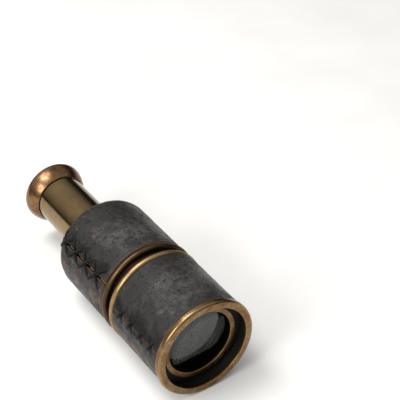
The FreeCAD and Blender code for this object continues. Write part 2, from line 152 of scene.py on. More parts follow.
patinaLook = {
    "shade": "#62492F", "metal": "#7F6A4B", "glow": "#917B58",  # brown-olive patina, dark to light
    "cloudSize": 12 * mm,
    "stain": "#6A4028", "stainFrom": 0.46, "stainTo": 0.64, "stainAmount": 0.8, "stainSize": 8 * mm,
    "pit": "#2E2018", "pitAmount": 0.6, "pitSize": 0.9 * mm,
    "bright": "#B8945F", "edgeWear": 0.5,
    # the black is for blackened inner faces, and also paints shade in the eyecup's undercut
    "blackAndShadeColour": "#17110C", "polish": 0.2, "dull": 0.36,
    "turning": 0.25 * mm, "turningStretch": 24, "knockSize": 3 * mm, "relief": 0.03 * mm, "reliefStrength": 0.3,
}


def agedBrass(name, look):
    # turned brass, antiqued with a brown patina: warm half-dull reflections, mottled
    # rust-brown stains, fine turning lines, and bare yellow metal where an edge rubs
    material, tree = newMaterial(name)
    coords = addNode(tree, "ShaderNodeTexCoord").outputs["Object"]
    cloud = addNode(tree, "ShaderNodeTexNoise",
                    {"Scale": 1 / look["cloudSize"], "Detail": 6, "Roughness": 0.6}, {"Vector": coords})
    metal = addNode(tree, "ShaderNodeValToRGB", links={0: cloud})
    setStops(metal, [(0.34, look["shade"]), (0.5, look["metal"]), (0.66, look["glow"])])
    stain = addNode(tree, "ShaderNodeTexNoise",
                    {"Scale": 1 / look["stainSize"], "Detail": 9, "Roughness": 0.68, "Distortion": 0.7},
                    {"Vector": coords})
    stainMask = addNode(tree, "ShaderNodeValToRGB", links={0: stain})
    setStops(stainMask, [(look["stainFrom"], 0.0), (look["stainTo"], look["stainAmount"])])
    colour = mixColour(tree, stainMask.outputs[0], metal.outputs[0], look["stain"])
    pits = addNode(tree, "ShaderNodeTexNoise", {"Scale": 1 / look["pitSize"], "Detail": 3},
                   {"Vector": coords})
    pitMask = addNode(tree, "ShaderNodeValToRGB", links={0: pits})
    setStops(pitMask, [(0.6, 0.0), (0.72, look["pitAmount"])])
    colour = mixColour(tree, pitMask.outputs[0], colour, look["pit"])
    worn = addNode(tree, "ShaderNodeAttribute", attribute_name="wear")
    patchy = addNode(tree, "ShaderNodeMapRange", {"From Min": 0.3, "From Max": 0.62}, {"Value": stain})
    rubbed = addNode(tree, "ShaderNodeMath", links={0: worn.outputs["Fac"], 1: patchy},
                     operation="MULTIPLY")
    edge = addNode(tree, "ShaderNodeMath", {1: look["edgeWear"]}, {0: rubbed}, operation="MULTIPLY",
                   use_clamp=True)
    colour = mixColour(tree, edge.outputs[0], colour, look["bright"])
    # blackened inner faces, and painted shade in the eyecup's undercut
    blackingAndShade = addNode(tree, "ShaderNodeAttribute", attribute_name="blackingAndShade")
    colour = mixColour(tree, blackingAndShade.outputs["Fac"], colour, look["blackAndShadeColour"])
    gloss = addNode(tree, "ShaderNodeMapRange",
                    {"From Min": 0.3, "From Max": 0.7, "To Min": look["polish"], "To Max": look["dull"]},
                    {"Value": stain})
    roughness = addNode(tree, "ShaderNodeMath", {1: 0.35}, {0: blackingAndShade.outputs["Fac"], 2: gloss},
                        operation="MULTIPLY_ADD")
    # turning lines run round the axis, so the pattern is long across it and fine along it
    stretch = look["turningStretch"]
    stretched = addNode(tree, "ShaderNodeMapping", {"Scale": (1, stretch, 1)}, {"Vector": coords})
    turning = addNode(tree, "ShaderNodeTexNoise", {"Scale": 1 / (stretch * look["turning"]), "Detail": 4},
                      {"Vector": stretched})
    knocks = addNode(tree, "ShaderNodeTexNoise", {"Scale": 1 / look["knockSize"], "Detail": 5},
                     {"Vector": coords})
    height = addNode(tree, "ShaderNodeMath", {1: 0.3}, {0: turning, 2: knocks}, operation="MULTIPLY_ADD")
    height = addNode(tree, "ShaderNodeMath", {1: -0.5}, {0: pitMask.outputs[0], 2: height},
                     operation="MULTIPLY_ADD")
    bump = addNode(tree, "ShaderNodeBump", {"Strength": look["reliefStrength"], "Distance": look["relief"]},
                   {"Height": height})
    shader = addNode(tree, "ShaderNodeBsdfPrincipled", {"Metallic": 1.0},
                     {"Base Color": colour, "Roughness": roughness, "Normal": bump})
    finishMaterial(tree, shader)
    return material


blackenedLook = {"dark": "#0B0806", "light": "#18110B", "cloudSize": 4 * mm, "relief": 0.05 * mm}


def blackenedBrass(look):
    # brass blackened inside an instrument to stop stray light: nearly no gloss, faintly brown
    material, tree = newMaterial("blackenedBrass")
    coords = addNode(tree, "ShaderNodeTexCoord").outputs["Object"]
    cloud = addNode(tree, "ShaderNodeTexNoise", {"Scale": 1 / look["cloudSize"], "Detail": 6},
                    {"Vector": coords})
    colour = addNode(tree, "ShaderNodeValToRGB", links={0: cloud})
    setStops(colour, [(0.3, look["dark"]), (0.7, look["light"])])
    bump = addNode(tree, "ShaderNodeBump", {"Strength": 0.3, "Distance": look["relief"]}, {"Height": cloud})
    shader = addNode(tree, "ShaderNodeBsdfPrincipled", {"Metallic": 0.15, "Roughness": 0.6},
                     {"Base Color": colour, "Normal": bump})
    finishMaterial(tree, shader)
    return material


glassLook = {"clear": "#B8BEBB", "dusty": "#A9ADA8", "dustSize": 3 * mm, "polished": 0.03, "hazy": 0.12}


def opticalGlass(look):
    # polished crown and flint glass with a little dust: clear, over a black tube, so the eye
    # gets the tube's darkness and one soft reflection
    material, tree = newMaterial("polishedCrownGlass")
    coords = addNode(tree, "ShaderNodeTexCoord").outputs["Object"]
    dust = addNode(tree, "ShaderNodeTexNoise",
                   {"Scale": 1 / look["dustSize"], "Detail": 8, "Roughness": 0.7}, {"Vector": coords})
    haze = addNode(tree, "ShaderNodeMapRange",
                   {"From Min": 0.45, "From Max": 0.8, "To Min": look["polished"], "To Max": look["hazy"]},
                   {"Value": dust})
    tint = addNode(tree, "ShaderNodeValToRGB", links={0: dust})
    setStops(tint, [(0.35, look["clear"]), (0.7, look["dusty"])])
    shader = addNode(tree, "ShaderNodeBsdfPrincipled", {"IOR": 1.52, "Transmission Weight": 1.0},
                     {"Base Color": tint, "Roughness": haze})
    finishMaterial(tree, shader)
    return material


leatherLook = {
    # the scuffed colour is also the painted highlight on the top of the tube
    "deep": "#0B0A09", "dye": "#272625", "scuffedAndLit": "#474543",
    "tan": "#6B5040", "tanFrom": 0.58, "tanTo": 0.7, "tanAmount": 0.5,
    "thinSize": 5 * mm, "edge": "#5A4130", "patch": 7 * mm, "speck": 1.6 * mm, "speckAmount": 0.75,
    "grain": 1.1 * mm,  # real grain is near 0.5 mm: drawn coarser to show
    "relief": 0.2 * mm, "reliefStrength": 0.5, "smooth": 0.38, "rough": 0.8,
}


def wornLeather(name, look):
    # vegetable-tanned hide dyed black and handled for years: fine pebbled grain, satin
    # gloss, paler scuffs, a painted highlight on the top of the tube, painted shade beside
    # the seam, and brown hide where the dye has rubbed through
    material, tree = newMaterial(name)
    coords = addNode(tree, "ShaderNodeTexCoord").outputs["Object"]
    patch = addNode(tree, "ShaderNodeTexNoise",
                    {"Scale": 1 / look["patch"], "Detail": 9, "Roughness": 0.74, "Distortion": 0.3},
                    {"Vector": coords})
    # this attribute paints a highlight on the top of the tube and shade beside the seam, mixed with handling
    # wear
    wearAndPaintedLight = addNode(tree, "ShaderNodeAttribute", attribute_name="wearAndPaintedLight")
    rubbingAndPaintedLight = addNode(tree, "ShaderNodeMath", {1: 0.2}, {0: wearAndPaintedLight.outputs["Fac"], 2: patch},
                      operation="MULTIPLY_ADD")
    dye = addNode(tree, "ShaderNodeValToRGB", links={0: rubbingAndPaintedLight})
    setStops(dye, [(0.28, look["deep"]), (0.46, look["dye"]), (0.58, look["dye"]), (0.76, look["scuffedAndLit"])])
    thin = addNode(tree, "ShaderNodeTexNoise",
                   {"Scale": 1 / look["thinSize"], "Detail": 10, "Roughness": 0.72}, {"Vector": coords})
    bare = addNode(tree, "ShaderNodeAttribute", attribute_name="bare")
    thinned = addNode(tree, "ShaderNodeMath", {1: 0.16}, {0: bare.outputs["Fac"], 2: thin},
                      operation="MULTIPLY_ADD")
    thinMask = addNode(tree, "ShaderNodeValToRGB", links={0: thinned})
    setStops(thinMask, [(look["tanFrom"], 0.0), (look["tanTo"], look["tanAmount"])])
    colour = mixColour(tree, thinMask.outputs[0], dye.outputs[0], look["tan"])
    specks = addNode(tree, "ShaderNodeTexNoise", {"Scale": 1 / look["speck"], "Detail": 4, "Roughness": 0.6},
                     {"Vector": coords})
    speckMask = addNode(tree, "ShaderNodeValToRGB", links={0: specks})
    setStops(speckMask, [(0.54, 0.0), (0.64, look["speckAmount"])])
    colour = mixColour(tree, speckMask.outputs[0], colour, look["deep"])
    rim = addNode(tree, "ShaderNodeAttribute", attribute_name="wear")
    colour = mixColour(tree, rim.outputs["Fac"], colour, look["edge"])
    grain = addNode(tree, "ShaderNodeTexVoronoi", {"Scale": 1 / look["grain"]}, {"Vector": coords})
    fine = addNode(tree, "ShaderNodeTexNoise", {"Scale": 1 / (0.6 * look["grain"]), "Detail": 5},
                   {"Vector": coords})
    height = addNode(tree, "ShaderNodeMath", {1: 0.8}, {0: grain, 2: fine}, operation="MULTIPLY_ADD")
    bump = addNode(tree, "ShaderNodeBump", {"Strength": look["reliefStrength"], "Distance": look["relief"]},
                   {"Height": height})
    gloss = addNode(tree, "ShaderNodeMapRange",
                    {"From Min": 0.28, "From Max": 0.62, "To Min": look["rough"], "To Max": look["smooth"]},
                    {"Value": rubbingAndPaintedLight})
    shader = addNode(tree, "ShaderNodeBsdfPrincipled", {"IOR": 1.5, "Specular IOR Level": 0.25},
                     {"Base Color": colour, "Roughness": gloss, "Normal": bump})
    finishMaterial(tree, shader)
    return material


threadLook = {"dark": "#090807", "light": "#171310", "fibre": 0.4 * mm, "relief": 0.05 * mm}


def waxedThread(look):
    # twisted linen thread, black waxed: nearly black with a dull shine along each ply
    material, tree = newMaterial("waxedLinenThread")
    coords = addNode(tree, "ShaderNodeTexCoord").outputs["Object"]
    fibre = addNode(tree, "ShaderNodeTexNoise", {"Scale": 1 / look["fibre"], "Detail": 5}, {"Vector": coords})
    colour = addNode(tree, "ShaderNodeValToRGB", links={0: fibre})
    setStops(colour, [(0.35, look["dark"]), (0.7, look["light"])])
    bump = addNode(tree, "ShaderNodeBump", {"Strength": 0.5, "Distance": look["relief"]}, {"Height": fibre})
    shader = addNode(tree, "ShaderNodeBsdfPrincipled", {"Roughness": 0.75, "IOR": 1.45},
                     {"Base Color": colour, "Normal": bump})
    finishMaterial(tree, shader)
    return material


feltLook = {"dark": "#24130F", "light": "#43261F", "fluff": 0.8 * mm, "relief": 0.1 * mm}


def woolFelt(look):
    # thin pressed wool felt: dark red-brown, matt, with loose fibres
    material, tree = newMaterial("pressedWoolFelt")
    coords = addNode(tree, "ShaderNodeTexCoord").outputs["Object"]
    fluff = addNode(tree, "ShaderNodeTexNoise", {"Scale": 1 / look["fluff"], "Detail": 8}, {"Vector": coords})
    colour = addNode(tree, "ShaderNodeValToRGB", links={0: fluff})
    setStops(colour, [(0.3, look["dark"]), (0.7, look["light"])])
    bump = addNode(tree, "ShaderNodeBump", {"Strength": 0.8, "Distance": look["relief"]}, {"Height": fluff})
    shader = addNode(tree, "ShaderNodeBsdfPrincipled", {"Roughness": 0.95, "Sheen Weight": 0.3},
                     {"Base Color": colour, "Normal": bump})
    finishMaterial(tree, shader)
    return material


antiqueBrass = agedBrass("antiquedBrass", patinaLook)
tubeBrass = agedBrass("drawnBrassTube", {
    **patinaLook, "shade": "#7E6B4C", "metal": "#84704F", "glow": "#8C7855", "stainAmount": 0.25,
    "pitAmount": 0.2, "polish": 0.12, "dull": 0.19, "reliefStrength": 0.1})
# nearly black: real oxide, darkened further to paint the shade in the groove between the two leather sections
oxidisedAndShadedBrass = agedBrass("oxidisedAndShadedBrass", {
    **patinaLook, "shade": "#1C140E", "metal": "#261B13", "glow": "#32251A", "stain": "#20140D",
    "polish": 0.4, "dull": 0.6})
handledBrass = agedBrass("handledBrass", {
    **patinaLook, "shade": "#553C2A", "metal": "#7C6045", "glow": "#957554", "stain": "#5C3722",
    "stainFrom": 0.44, "stainTo": 0.6, "bright": "#C9A06E"})
# the sunshade bead's bright crest is partly wear and partly a painted highlight
rubbedAndHighlitBrass = agedBrass("rubbedAndHighlitBrass", {
    **patinaLook, "bright": "#A58C63", "edgeWear": 1.0, "stainAmount": 0.6, "polish": 0.3, "dull": 0.46})
dulledBrass = agedBrass("dulledBrass", {
    **patinaLook, "shade": "#35271C", "metal": "#4C3B2A", "glow": "#5E4B37", "stain": "#452B1C",
    "bright": "#65543C", "edgeWear": 0.6, "polish": 0.32, "dull": 0.48})
blackened = blackenedBrass(blackenedLook)
glass = opticalGlass(glassLook)
leather = wornLeather("wornBlackHide", leatherLook)
thread = waxedThread(threadLook)
felt = woolFelt(feltLook)
print("materials ready")


# Camera, light and floor

cameraPlace = {"aim": (0.0584, 0.0213, 0.0251), "azimuth": -33.54, "elevation": 36.77, "roll": -0.2,
               "distance": 0.645, "lens": 113.65}

studio = {
    # brightness of the room by height, from dark walls to a lit ceiling, and of the backdrop
    "room": [(0.0, 0.02), (0.2, 0.03), (0.38, 0.32), (0.64, 0.66), (1.0, 0.86)],
    "roomStrength": 1.0, "ceiling": (-0.2, 0.03, 0.97), "backdrop": 0.92,
    "floorLow": "#F1EFEB", "floorHigh": "#F7F6F3", "floorSize": 4.0,
    # name, place, aim, width, height, watts
    "lights": [
        ("overhead", (-0.25, 0.22, 0.82), (0.0, 0.0, 0.02), 0.4, 0.4, 4.4),
        ("sideFill", (-0.5, -0.12, 0.36), (0.0, 0.0, 0.0), 0.35, 0.25, 2.3),
    ],
}


def addCamera(values):
    camera = bpy.data.cameras.new("camera")
    camera.lens = values["lens"]
    camera.sensor_width = 36
    camera.clip_start = 0.01
    stand = bpy.data.objects.new("camera", camera)
    bpy.context.scene.collection.objects.link(stand)
    azimuth, elevation = math.radians(values["azimuth"]), math.radians(values["elevation"])
    forward = Vector((-math.sin(azimuth) * math.cos(elevation), math.cos(azimuth) * math.cos(elevation),
                      -math.sin(elevation)))
    stand.rotation_euler = forward.to_track_quat("-Z", "Y").to_euler()
    stand.rotation_euler.rotate_axis("Z", math.radians(values["roll"]))
    stand.location = Vector(values["aim"]) - forward * values["distance"]
    bpy.context.scene.camera = stand


def addStudio(values):
    world = bpy.data.worlds.new("studio")
    world.use_nodes = True
    tree = world.node_tree
    background = tree.nodes["Background"]
    coords = addNode(tree, "ShaderNodeTexCoord").outputs["Generated"]
    height = addNode(tree, "ShaderNodeVectorMath", {1: values["ceiling"]}, {0: coords},
                     operation="DOT_PRODUCT").outputs["Value"]
    room = addNode(tree, "ShaderNodeValToRGB", links={0: height})
    setStops(room, values["room"])
    seen = addNode(tree, "ShaderNodeLightPath").outputs["Is Camera Ray"]
    backdrop = addNode(tree, "ShaderNodeMix", {"B": values["backdrop"]}, {"Factor": seen, "A": room})
    tree.links.new(backdrop.outputs[0], background.inputs[0])
    background.inputs[1].default_value = values["roomStrength"]
    bpy.context.scene.world = world
    bpy.context.scene.view_settings.view_transform = "Standard"
    for name, spot, aim, width, height, watts in values["lights"]:
        lamp = bpy.data.lights.new(name, "AREA")
        lamp.shape = "RECTANGLE"
        lamp.size, lamp.size_y = width, height
        lamp.energy = watts
        stand = bpy.data.objects.new(name, lamp)
        stand.location = spot
        stand.rotation_euler = (Vector(aim) - Vector(spot)).to_track_quat("-Z", "Y").to_euler()
        bpy.context.scene.collection.objects.link(stand)
    material, tree = newMaterial("paleFloor")
    coords = addNode(tree, "ShaderNodeTexCoord").outputs["Object"]
    paper = addNode(tree, "ShaderNodeTexNoise", {"Scale": 20, "Detail": 4}, {"Vector": coords})
    tint = addNode(tree, "ShaderNodeValToRGB", links={0: paper})
    setStops(tint, [(0.3, values["floorLow"]), (0.7, values["floorHigh"])])
    finishMaterial(tree, addNode(tree, "ShaderNodeBsdfPrincipled", {"Roughness": 0.7}, {"Base Color": tint}))
    half = values["floorSize"] / 2
    floor = addObject("floor", [(-half, -half, 0), (half, -half, 0), (half, half, 0), (-half, half, 0)],
                      [(0, 1, 2, 3)], material)


addCamera(cameraPlace)
addStudio(studio)
print("camera, light and floor ready")


# Turned brass

def smooth(value):
    value = min(max(value, 0.0), 1.0)
    return value * value * (3 - 2 * value)


def roundOff(corners, steps=8):
    # outline from (station, radius, rounding, blacking) corners, the blacking being blackened
    # inner brass and painted shade in an undercut; a rounded edge is rubbed bright,
    # and a negative rounding is an inner corner that nothing rubs
    points = []
    for index, corner in enumerate(corners):
        station, radius, rounding = corner[:3]
        blackingAndShade = corner[3] if len(corner) > 3 else 0.0
        here = Vector((station, radius))
        if rounding == 0:
            points.append((station, radius, 0.0, blackingAndShade))
            continue
        size = abs(rounding)
        before = (Vector(corners[index - 1][:2]) - here).normalized()
        after = (Vector(corners[(index + 1) % len(corners)][:2]) - here).normalized()
        half = before.angle(after) / 2
        reach = size / math.tan(half)
        centre = here + (before + after).normalized() * (size / math.sin(half))
        first = (here + before * reach - centre).normalized()
        last = (here + after * reach - centre).normalized()
        lead = here + before * reach * 1.3
        points.append((lead.x, lead.y, 0.0, blackingAndShade))
        for step in range(steps + 1):
            share = step / steps
            spot = centre + first.slerp(last, share) * size
            points.append((spot.x, spot.y, math.sin(math.pi * share) if rounding > 0 else 0.0, blackingAndShade))
        tail = here + after * reach * 1.3
        points.append((tail.x, tail.y, 0.0, blackingAndShade))
    return points


def arcOutline(start, end, curve, side, steps=14, wear=0.0):
    # points strictly between two (station, radius) ends on an arc; side 1 puts its centre
    # to the left of that run
    a, b = Vector(start), Vector(end)
    chord = b - a
    left = Vector((-chord.y, chord.x)).normalized() * side
    centre = (a + b) / 2 + left * math.sqrt(max(curve ** 2 - (chord.length / 2) ** 2, 0))
    first, last = (a - centre).normalized(), (b - centre).normalized()
    points = []
    for step in range(1, steps):
        spot = centre + first.slerp(last, step / steps) * curve
        points.append((spot.x, spot.y, wear, 0.0))
    return points


def lathe(name, outline, material, steps=256):
    # spins a closed outline of (station, radius, wear, blacking and painted shade) about the optical axis
    verts, rings = [], []
    wear, blackingAndShade = [], []
    for station, radius, worn, blackedAndShaded in outline:
        count = 1 if radius < 1e-7 else steps
        rings.append((len(verts), count))
        verts += [aroundAxis(station, radius, 2 * math.pi * k / steps) for k in range(count)]
        wear += [worn] * count
        blackingAndShade += [blackedAndShaded] * count
    faces = []
    for (first, count), (nextFirst, nextCount) in zip(rings, rings[1:] + rings[:1]):
        if count == 1 and nextCount == 1:
            continue
        for k in range(steps):
            loop = (first + k % count, first + (k + 1) % count,
                    nextFirst + (k + 1) % nextCount, nextFirst + k % nextCount)
            faces.append(list(dict.fromkeys(loop)))
    piece = addObject(name, verts, faces, material, {"wear": wear, "blackingAndShade": blackingAndShade})
    faceOutwards(piece)
    piece.data.set_sharp_from_angle(angle=math.radians(40))
    return piece


bezelShape = {"frontRound": 1.2 * mm, "backRound": 0.8 * mm, "innerRound": 0.5 * mm, "lip": 1.7 * mm}


def makeBezel(values):
    front, back, outer = span("sunshade_bezel")
    opening = mountRadius["rim_opening"]
    seat = span("sunshade_tube")[2]
    lip = front + values["lip"]
    outline = roundOff([
        (front, opening, values["innerRound"]),
        (front, outer, values["frontRound"]),
        (back, outer, values["backRound"]),
        (back, seat, 0),
        (lip, seat, 0, 1.0),
        (lip, opening, 0, 1.0),
    ])
    place(lathe("objectiveBezel", outline, antiqueBrass), "sunshade", "sunshade_bezel")


beadShape = {"shadeWall": 0.7 * mm, "tubeWall": 0.6 * mm, "barrelWidth": 3.2 * mm, "barrelWall": 0.8 * mm,
             "spigotWall": 0.58 * mm}


def halfRound(front, back, base, outer, steps=18):
    # a bead's outside, an arc from one side of the ring to the other, rubbed at its top, where the sunshade
    # bead also gets a painted highlight
    half, rise = (back - front) / 2, outer - base
    curve = (half ** 2 + rise ** 2) / (2 * rise)
    reach = math.asin(min(half / curve, 1.0))
    points = []
    for step in range(steps + 1):
        turn = reach * (2 * step / steps - 1)
        points.append(((front + back) / 2 + curve * math.sin(turn), outer - curve + curve * math.cos(turn),
                       0.9 * smooth(math.cos(turn) * 2.2 - 1.1), 0.0))
    return points


def makeBeads(values):
    # the ring that closes the sliding sunshade
    front, back, outer = span("sunshade_rear_ring")
    tube = span("sunshade_tube")[2]
    bore, wall = tube - values["tubeWall"], back - values["shadeWall"]
    outline = halfRound(front, back, tube, outer)
    outline += [(back, bore, 0.0, 0.3), (wall, bore, 0.0, 1.0), (wall, tube, 0.0, 1.0)]
    # its bright crest is partly wear and partly a painted highlight
    place(lathe("sunshadeRearBead", outline, rubbedAndHighlitBrass), "sunshade", "sunshade_rear_ring")
    # the ring in front of the barrel, whose spigot holds the objective tube
    front, spigotEnd, outer = span("barrel_front_ring")
    back, tube = front + values["barrelWidth"], span("barrel_tube")[2]
    inner = span("objective_tube")[2]
    wall, spigot = front + values["barrelWall"], inner + values["spigotWall"]
    outline = halfRound(front, back, tube, outer)
    outline += [(wall, tube, 0.0, 0.0), (wall, spigot, 0.0, 0.0), (spigotEnd, spigot, 0.0, 0.0),
                (spigotEnd, inner, 0.0, 0.0), (front, inner, 0.0, 0.0)]
    place(lathe("barrelFrontBead", outline, dulledBrass), "barrel", "barrel_front_ring")


retainerShape = {"opening": 16.3 * mm, "frontRound": 0.35 * mm, "boreRound": 0.28 * mm, "proud": 0.9 * mm,
                 "bareBore": 0.9 * mm}


def makeRetainer(values):
    # threaded ring over the objective, its bore blackened
    front, back, outer = span("objective_retaining_ring")
    front -= values["proud"]
    outline = roundOff([
        (front, values["opening"], values["boreRound"]),
        (front, outer, values["frontRound"]),
        (back, outer, 0, 1.0),
        (back, values["opening"], 0, 1.0),
        (front + values["bareBore"], values["opening"], 0, 1.0),
    ])
    place(lathe("objectiveRetainingRing", outline, antiqueBrass), "barrel",
          "objective_retaining_ring")


bushShape = {"round": 0.5 * mm, "boreRound": 0.2 * mm, "sleeve": 13.8 * mm, "bore": 12.67 * mm,
             "flange": 1.8 * mm, "feltBore": 13.32 * mm}


def makeBush(values):
    # collar that the draw tube slides through
    front, back, outer = span("draw_bush")
    face = back - values["flange"]
    outline = roundOff([
        (front, values["feltBore"], 0, 1.0),
        (front, values["sleeve"], 0, 1.0),
        (face, values["sleeve"], 0, 1.0),
        (face, outer, 0),
        (back, outer, values["round"]),
        (back, values["bore"], values["boreRound"]),
        (face, values["bore"], 0, 1.0),
        (face, values["feltBore"], 0, 1.0),
    ])
    place(lathe("drawTubeCollar", outline, antiqueBrass), "barrel", "draw_bush")


drawShape = {"wall": 0.6 * mm, "rings": 40}


def makeDrawTube(values):
    front, back, outer = span("draw_tube")
    bore = outer - values["wall"]
    rings = values["rings"]
    stations = [front + (back - front) * k / rings for k in range(rings + 1)]
    outline = [(station, outer, 0.0, 0.0) for station in stations]
    outline += [(station, bore, 0.0, 1.0) for station in reversed(stations)]  # blackened inside
    place(lathe("drawTube", outline, tubeBrass), "draw", "draw_tube")


cupShape = {
    "spigot": 4.0 * mm, "neck": 0.5 * mm, "neckStep": 0.5 * mm, "baseStep": 0.5 * mm, "baseRound": 0.15 * mm,
    "flare": 6.6 * mm, "flareCurve": 18 * mm, "land": 1.2 * mm, "lipStep": 2.3 * mm, "lipCurve": 2.6 * mm,
    "wall": 1.0 * mm, "dish": 5.2 * mm, "dishCurve": 12 * mm, "hole": 5.0 * mm, "web": 2.0 * mm,
}


def makeEyecup(values):
    front, end, outer = span("eyecup")
    tube = span("draw_tube")[2]
    bore = tube - drawShape["wall"]
    neck, base, corner = tube - values["neckStep"], tube + values["baseStep"], values["baseRound"]
    start = front + values["spigot"]
    flareStart = start + values["neck"]
    landStart = flareStart + values["flare"]
    landEnd = landStart + values["land"]
    mouth, wall, hole = outer - values["lipStep"], values["wall"], values["hole"]
    dish, inner = end - values["dish"], bore - wall
    web = dish - values["web"]
    # the spigot inside the draw tube, blackened, and the undercut at its end, painted dark as shade
    outline = [(front, inner, 0, 1), (front, bore, 0, 1), (start, bore, 0, 1), (start, neck, 0, 1),
               (flareStart, neck, 0, 1), (flareStart, base - corner, 0, 0.6),
               (flareStart + corner, base + corner / 3, 0.8, 0)]
    # the flare, the land and the lip that fingers hold
    outline += arcOutline((flareStart, base), (landStart, outer), values["flareCurve"], -1, steps=24)
    outline += [(landStart, outer, 0.5, 0), (landEnd, outer, 0.8, 0)]
    outline += arcOutline((landEnd, outer), (end, mouth), values["lipCurve"], -1, wear=0.9)
    # the dished face, down to the hole for the eye
    outline += [(end, mouth, 0.4, 0), (end, mouth - wall, 0.2, 0)]
    outline += arcOutline((end, mouth - wall), (dish, hole), values["dishCurve"], 1, steps=24)
    outline += [(dish, hole, 0.6, 0), (web, hole, 0, 1), (web, inner, 0, 1)]
    place(lathe("flaredEyecup", outline, handledBrass), "draw", "eyecup")


makeBezel(bezelShape)
makeBeads(beadShape)
makeRetainer(retainerShape)
makeBush(bushShape)
makeDrawTube(drawShape)
makeEyecup(cupShape)
print("turned brass ready")


# Stitched leather covers

def wobble(x, y, z, size, octaves=3):
    return noise.fractal(Vector((x, y, z)) / size, 1.0, 2.0, octaves)


def nearRun(across, along, start, end):
    # distance from a spot on the flat hide to a thread run
    width, height = end[0] - start[0], end[1] - start[1]
    share = ((across - start[0]) * width + (along - start[1]) * height) / (width ** 2 + height ** 2)
    share = min(max(share, 0.0), 1.0)
    return math.hypot(across - start[0] - width * share, along - start[1] - height * share)


def stitchRuns(seam):
    # the two thread runs of each cross, as (across the seam, along the cover) ends
    runs = []
    for index in range(seam["stitches"]):
        low = seam["first"] + index * seam["pitch"]
        high = low + seam["tall"]
        runs.append(((-seam["reach"], low), (seam["reach"], high)))
        runs.append(((seam["reach"], low), (-seam["reach"], high)))
    return runs


def rolledIn(distance, reach):
    # how far a cut edge is rolled under: 1 at the edge, 0 from reach on
    return 1 - math.sqrt(max(1 - (1 - min(distance / reach, 1)) ** 2, 0))


def pulledIn(across, along, seam, runs):
    # how deep the threads and their holes pull the hide in
    pull = 0.0
    for start, end in runs:
        away = nearRun(across, along, start, end)
        pull = max(pull, math.exp(-(away / seam["threadBed"]) ** 2) * seam["pull"])
        for hole in (start, end):
            away = math.hypot(across - hole[0], along - hole[1])
            pull = max(pull, math.exp(-(away / seam["holeBed"]) ** 2) * seam["hole"])
    return pull


def hideLift(spot, across, along, edges, cover, seam, runs):
    # how far the outside of the hide stands off its smooth shape
    thick = cover["thick"]
    lift = cover["dent"] * wobble(*spot, cover["dentSize"])
    lift += cover["grain"] * wobble(*spot, cover["grainSize"], 2)
    near = smooth(1 - (abs(across) - seam["reach"]) / seam["pucker"])
    lift += near * seam["crumple"] * wobble(*spot, seam["crumpleSize"])
    if abs(across) < seam["reach"] + seam["pucker"]:
        puffed = smooth(1 - (abs(across) - seam["reach"] * seam["puffCore"]) / seam["puffReach"])
        lift += seam["puff"] * puffed - pulledIn(across, along, seam, runs)
    rolled = max(rolledIn(edges[0], cover["roll"]), rolledIn(edges[1], cover["endRoll"]))
    lift -= (thick - cover["edgeThick"]) * rolled
    lift -= cover["crease"] * math.exp(-((along - cover["creaseAt"]) / cover["creaseWidth"]) ** 2)
    return max(lift, -thick * cover["deepest"])


def hideWear(along, edges, cover):
    # brown hide shows along the cut edges, and in front of the crease
    worn = max(0.9 * smooth(1 - edges[0] / cover["seamWear"]), 0.8 * smooth(1 - edges[1] / cover["endWear"]))
    if cover["crease"]:
        worn = max(worn, 0.22 * smooth((cover["creaseAt"] - along) / (0.5 * mm)))
    return worn


def paintedSeamShade(across, seam):
    # painted shade darkens the hide beside its seam, more on the upper side
    return smooth(1 - abs(across + seam["seamShadeCentre"]) / seam["seamShadeReach"])


def leatherCover(name, cover, seam, material):
    # a hide wrapped round its tube from one seam edge to the other: the outside is dented,
    # pulled in under the threads and at their holes, and puffed up between them
    runs = stitchRuns(seam)
    radius, profile = cover["radius"], cover["profile"]
    gapAngle = seam["gap"] / radius
    columns = int(2 * math.pi * radius / cover["cell"])
    angles = [gapAngle / 2 + (2 * math.pi - gapAngle) * k / columns for k in range(columns + 1)]
    length = profile[-1][0]
    verts, wear, wearAndPaintedLight, bare = [], [], [], []
    for layer in ("outside", "inside"):
        for along, station, ring, normalStation, normalRadius in profile:
            for angle in angles:
                across = angle * radius if angle < math.pi else (angle - 2 * math.pi) * radius
                turn = seam["angle"] + angle
                edges = (abs(across) - seam["gap"] / 2, min(along, length - along))
                lift, worn = -cover["thick"], 0.0
                if layer == "outside":
                    spot = aroundAxis(station, ring, turn)
                    lift = hideLift(spot, across, along, edges, cover, seam, runs)
                    worn = hideWear(along, edges, cover)
                verts.append(aroundAxis(station + normalStation * lift, ring + normalRadius * lift, turn))
                wear.append(worn)
                # the top of the tube is lightened, partly as wear and partly as a painted highlight; beside the
                # seam it is darkened as painted shade
                wearAndPaintedLight.append(cover["wearAndPaintedLight"](along, turn) - seam["seamShadeAmount"] * paintedSeamShade(across, seam))
                bare.append(smooth(1 - abs(across - cover["bareCentre"]) / cover["bareReach"]))
    wide, rows = columns + 1, len(profile)
    faces = []
    for layer in (0, 1):
        base = layer * wide * rows
        for row in range(rows - 1):
            for column in range(columns):
                corner = base + row * wide + column
                loop = (corner, corner + 1, corner + wide + 1, corner + wide)
                faces.append(loop if layer == 0 else loop[::-1])
    # a wall round the four cut edges joins the two layers
    inner = wide * rows
    border = [(k, 0) for k in range(wide)] + [(wide - 1, r) for r in range(1, rows)]
    border += [(k, rows - 1) for k in range(wide - 2, -1, -1)] + [(0, r) for r in range(rows - 2, 0, -1)]
    for (column, row), (nextColumn, nextRow) in zip(border, border[1:] + border[:1]):
        here, following = row * wide + column, nextRow * wide + nextColumn
        faces.append((following, here, here + inner, following + inner))
    piece = addObject(name, verts, faces, material, {"wear": wear, "wearAndPaintedLight": wearAndPaintedLight, "bare": bare})
    faceOutwards(piece)
    return piece


